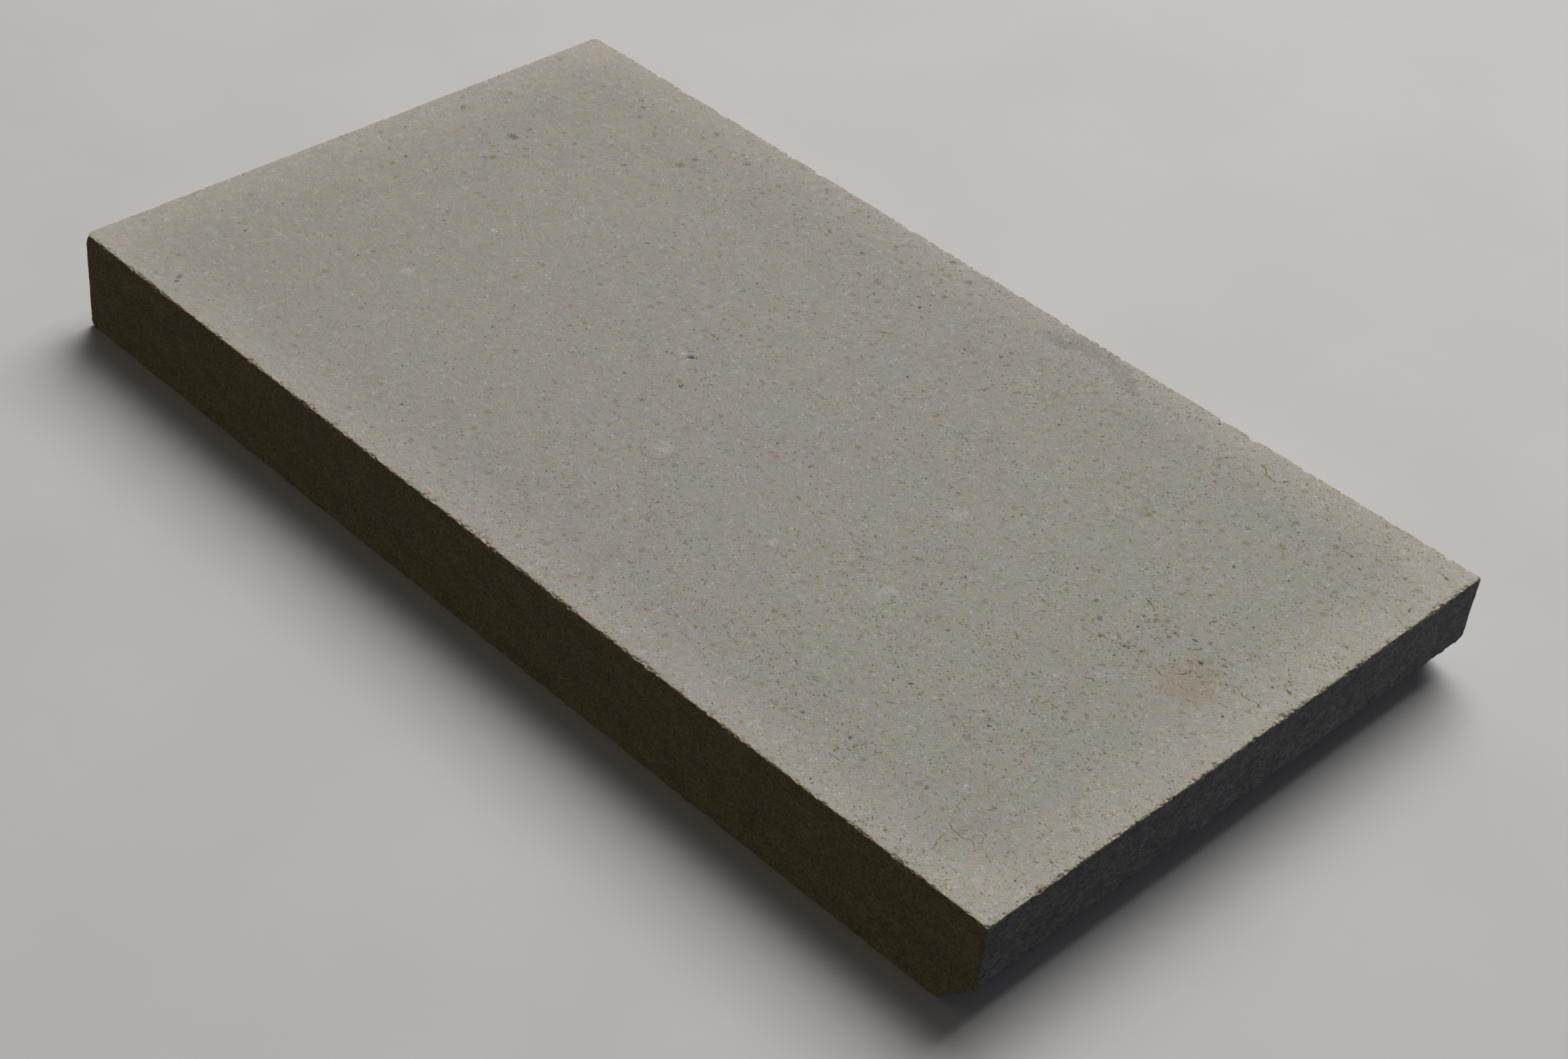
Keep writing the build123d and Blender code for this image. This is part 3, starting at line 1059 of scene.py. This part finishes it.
def arris_bruises_and_rim_highlight(bench, tone, where, x, y, upward, clay):
    """A painted highlight round the rim of the upper face, a paler worn strip, and crumbs of chalk, ochre
    and slate along the worn arrises.
    """
    from_end = bench.minus(HIGH[0], bench.math("ABSOLUTE", x))
    from_side = bench.minus(HIGH[1], bench.math("ABSOLUTE", y))
    # Painted highlight: the upper face is painted lighter in a band 18 to 21 mm wide along its edges, more
    # strongly towards the nose end
    nose_share = bench.ramp(x, 0.0, 130 * MM, 0.60, 0.85)
    end_highlight = bench.fall(from_end, 0.0, 21 * MM, nose_share)
    side_highlight = bench.fall(from_side, 0.0, 18 * MM, nose_share)
    wide = bench.times(bench.plus(end_highlight, side_highlight), upward)
    wobble = bench.ramp(bench.noise(where, 1.7), 0.3, 0.7, -0.6, 0.6)
    worn = bench.plus(bench.stored("rim"), wobble)
    narrow = bench.times(bench.fall(worn, 0.2, 1.5, 0.45), upward)
    tone = bench.mix(bench.plus(wide, narrow), tone, bench.tinted(tone, RIM_HIGHLIGHT_AND_WEAR))
    fronting = bench.fall(y, -HIGH[1], -HIGH[1] + 3 * MM)
    rust = bench.mix(fronting, RUSTY_ARRIS, RUSTY_FRONT_ARRIS)
    tone = bench.mix(bench.fall(worn, 0.2, 1.6), tone, bench.tinted(tone, rust))

    ragged = bench.shaken(where, 0.4, 0.25)
    _, random = bench.cells(bench.moved(ragged, 1.0), 0.55)
    draw, depth, _ = bench.split(random)
    strip = bench.fall(worn, 0.1, 1.0, 0.75)
    strip = bench.math("MAXIMUM", strip, bench.stored("wear"))
    tone = bench.mix(bench.stored("wear"), tone, bench.tinted(tone, BARED_CLAY))
    palette = (
        # colour, lowest draw, highest draw, cover
        (clay.slate_fleck, 0.00, 0.10, 0.65),
        (clay.ochre_fleck, 0.10, 0.30, 0.55),
        (clay.brown_fleck, 0.30, 0.36, 0.60),
        (clay.pale_grain, 0.50, 1.01, 0.70),
    )
    for tint, low, high, cover in palette:
        above, below = bench.math("GREATER_THAN", draw, low), bench.math("LESS_THAN", draw, high)
        cover = bench.ramp(depth, 0.0, 1.0, 0.3 * cover, cover)
        tone = bench.laid(tone, tint, above, below, cover, strip)
    return tone


def fireclay_material(clay):
    """Matte fired clay with grog, iron spots, hairlines, stains and bruised arrises, with painted shade on
    the sides, painted glints on their scraped grains and a painted highlight round the upper face's rim.
    """
    material = bpy.data.materials.new("fireclay")
    bench = cleared(material)
    where, upward, x, y = face_places(bench)

    tone = body_tone(bench, where, x, clay)
    tone = bench.mix(upward, side_tone(bench, tone, where, x, y, clay), tone)
    tone = soft_marks(bench, tone, where, x, y, upward, clay)
    tone, crowd = strewn_grains(bench, tone, where, x, upward, clay)
    tone = crazing(bench, tone, where, crowd, upward, clay)
    tone, crack = mesh_marks(bench, tone, where, clay)
    tone = arris_bruises_and_rim_highlight(bench, tone, where, x, y, upward, clay)

    tooth = bench.noise(where, 0.42, 3.0, 0.7)
    height = bench.minus(bench.plus(tooth, bench.noise(where, 1.7)), crack)
    relief = {"Strength": 0.6, "Distance": 0.18 * MM, "Height": height}
    bump = bench.add("ShaderNodeBump", relief)[0]
    rough = bench.ramp(tooth, 0.2, 0.8, 0.82, 0.96)
    surface = bench.add(
        "ShaderNodeBsdfPrincipled",
        {"Base Color": tone, "Roughness": rough, "Specular IOR Level": 0.25, "Normal": bump},
    )
    bench.add("ShaderNodeOutputMaterial", {"Surface": surface[0]})
    return material


def floor_material(studio):
    """A pale, faintly mottled floor."""
    material = bpy.data.materials.new("pale_floor")
    bench = cleared(material)
    where = bench.add("ShaderNodeTexCoord")["Object"]
    mottle = bench.ramp(bench.noise(where, 50, 4.0), 0.3, 0.7, 0.985, 1.015)
    tone = bench.tinted(studio.floor_colour, mottle)
    surface = bench.add("ShaderNodeBsdfPrincipled", {"Base Color": tone, "Roughness": 0.7})
    bench.add("ShaderNodeOutputMaterial", {"Surface": surface[0]})
    return material


def linked(name, data):
    """A new object in the scene."""
    made = bpy.data.objects.new(name, data)
    bpy.context.scene.collection.objects.link(made)
    return made


class FIREBRICK_OT_slab(bpy.types.Operator):
    """Build the worn slab and its clay"""

    bl_idname = "firebrick.slab"
    bl_label = "Build Slab"

    def execute(self, context):
        mesh = slab_mesh(context.scene.firebrick_slab)
        mesh.materials.append(fireclay_material(context.scene.firebrick_clay))
        slab = linked("fireclay_slab", mesh)
        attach(slab, BODY)
        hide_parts(NODE)
        return {"FINISHED"}


# The camera, from the fit of the slab's own edges in the photograph
CAMERA_PLACE = (329.12, -364.96, 381.95)  # millimetres
CAMERA_TURN = (51.229, -5.391, 45.231)  # degrees about X, Y and Z
CAMERA_LENS = 64.766  # millimetres
FILM_WIDTH = 36.0  # millimetres
FLOOR_HALF_WIDTH = 6.0  # metres

# The soft key light, in metres
KEY_PLACE = (-0.60, 1.45, 2.20)
KEY_SIDE = 2.0
KEY_COLOUR = (1.0, 0.99, 0.97)

# Light from all round, by where it comes from
AIR_BELOW = (0.40, 0.36, 0.30)
AIR_ABOVE = (1.0, 1.0, 1.0)
AIR_FRONT = (0.47, 0.35, 0.06)
AIR_NOSE = (0.40, 0.50, 0.93)


def add_floor(studio):
    """The floor that the slab lies on."""
    mesh = bpy.data.meshes.new("studio_floor")
    corners = [(-1, -1), (1, -1), (1, 1), (-1, 1)]
    points = [(x * FLOOR_HALF_WIDTH, y * FLOOR_HALF_WIDTH, LOW[2]) for x, y in corners]
    mesh.from_pydata(points, [], [(0, 1, 2, 3)])
    mesh.materials.append(floor_material(studio))
    floor = linked("studio_floor", mesh)
    floor.visible_diffuse = False


def add_key_light(studio):
    """One large soft light, aimed at the slab's middle."""
    lamp = bpy.data.lights.new("key", "AREA")
    lamp.shape = "SQUARE"
    lamp.size = KEY_SIDE
    lamp.energy = studio.key_power
    lamp.color = KEY_COLOUR
    light = linked("key_light", lamp)
    light.location = KEY_PLACE
    light.rotation_euler = (-Vector(KEY_PLACE)).to_track_quat("-Z", "Y").to_euler()


def add_surroundings(studio):
    """Dim light from all round: warm from the front, cool from beyond the nose end."""
    world = bpy.data.worlds.new("studio_air")
    bench = cleared(world)
    towards = bench.add("ShaderNodeTexCoord")["Generated"]
    x, y, z = bench.split(towards)
    air = bench.mix(bench.ramp(z, -0.2, 0.5), AIR_BELOW, AIR_ABOVE)
    air = bench.mix(bench.fall(y, -0.7, 0.0, 0.9), air, AIR_FRONT)
    air = bench.mix(bench.ramp(x, 0.3, 0.85, 0.0, 0.95), air, AIR_NOSE)
    glow = bench.add("ShaderNodeBackground", {"Color": air, "Strength": studio.ambient})
    bench.add("ShaderNodeOutputWorld", {"Surface": glow[0]})
    bpy.context.scene.world = world


def add_camera():
    """The camera at the photograph's viewpoint."""
    lens = bpy.data.cameras.new("camera")
    lens.sensor_width = FILM_WIDTH
    lens.lens = CAMERA_LENS
    camera = linked("camera", lens)
    camera.location = Vector(CAMERA_PLACE) * MM
    camera.rotation_euler = [math.radians(angle) for angle in CAMERA_TURN]
    bpy.context.scene.camera = camera


class FIREBRICK_OT_stage(bpy.types.Operator):
    """Set the floor, the light and the camera"""

    bl_idname = "firebrick.stage"
    bl_label = "Set Stage"

    def execute(self, context):
        studio = context.scene.firebrick_studio
        add_floor(studio)
        add_key_light(studio)
        add_surroundings(studio)
        add_camera()
        context.scene.view_settings.view_transform = "Standard"
        return {"FINISHED"}


class FIREBRICK_PT_panel(bpy.types.Panel):
    """Everything that can be set on the firebrick"""

    bl_label = "Stove Firebrick"
    bl_idname = "FIREBRICK_PT_panel"
    bl_space_type = "VIEW_3D"
    bl_region_type = "UI"
    bl_category = "Firebrick"

    def draw(self, context):
        scene = context.scene
        for settings, operator in (
            (scene.firebrick_slab, FIREBRICK_OT_slab.bl_idname),
            (scene.firebrick_clay, None),
            (scene.firebrick_studio, FIREBRICK_OT_stage.bl_idname),
        ):
            box = self.layout.box()
            for name in settings.bl_rna.properties.keys():
                if name not in ("rna_type", "name"):
                    box.prop(settings, name)
            if operator:
                box.operator(operator)


CLASSES = (
    SlabSettings,
    ClaySettings,
    StudioSettings,
    FIREBRICK_OT_slab,
    FIREBRICK_OT_stage,
    FIREBRICK_PT_panel,
)


def register():
    """Makes the settings, operators and panel known to Blender."""
    for each in CLASSES:
        bpy.utils.register_class(each)
    bpy.types.Scene.firebrick_slab = bpy.props.PointerProperty(type=SlabSettings)
    bpy.types.Scene.firebrick_clay = bpy.props.PointerProperty(type=ClaySettings)
    bpy.types.Scene.firebrick_studio = bpy.props.PointerProperty(type=StudioSettings)


def unregister():
    """Takes them away again."""
    del bpy.types.Scene.firebrick_studio
    del bpy.types.Scene.firebrick_clay
    del bpy.types.Scene.firebrick_slab
    for each in reversed(CLASSES):
        bpy.utils.unregister_class(each)


def main():
    """Builds the firebrick and its stage."""
    register()
    bpy.ops.firebrick.slab()
    bpy.ops.firebrick.stage()


if __name__ == "__main__":
    main()
